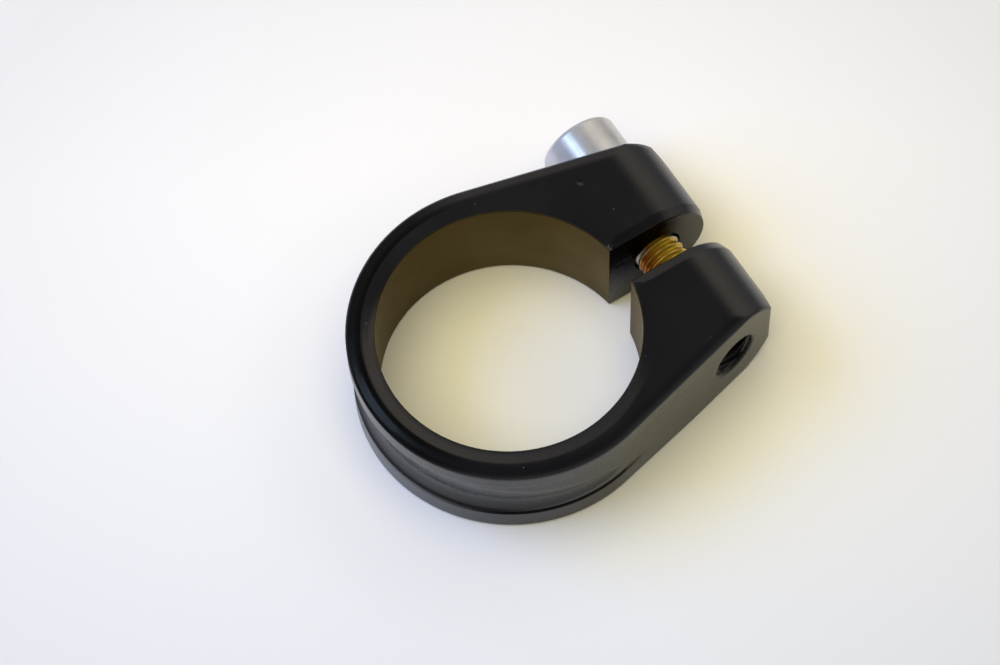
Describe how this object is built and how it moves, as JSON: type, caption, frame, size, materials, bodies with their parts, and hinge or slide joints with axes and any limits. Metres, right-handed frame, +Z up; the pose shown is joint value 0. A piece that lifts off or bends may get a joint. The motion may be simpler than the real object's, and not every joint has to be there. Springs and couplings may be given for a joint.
{
  "type": "seatpost clamp",
  "caption": "Split collar that grips a seat tube round a seatpost, with a grooved ring, two tapering ears and a cross screw that closes the slot.",
  "frame": {"origin": "centre of the bore on the collar's foot", "axes": "+Z up along the bore; +X from the bore towards the ears; +Y along the screw towards its head"},
  "size_m": [0.0491, 0.0401, 0.0144],
  "materials": {
    "collar": "black anodised, semi-gloss, with light handling marks",
    "bolt": "turned head, cut thread"
  },
  "bodies": {
    "collar": {"collar": "collar"},
    "bolt": {"bolt": "bolt"}
  },
  "joints": [
    {"name": "bolt_turn", "type": "hinge", "parent": "collar", "child": "bolt", "pos_m": [0.0226, 0, 0.0072], "axis": [0, 1, 0], "continuous": true}
  ]
}
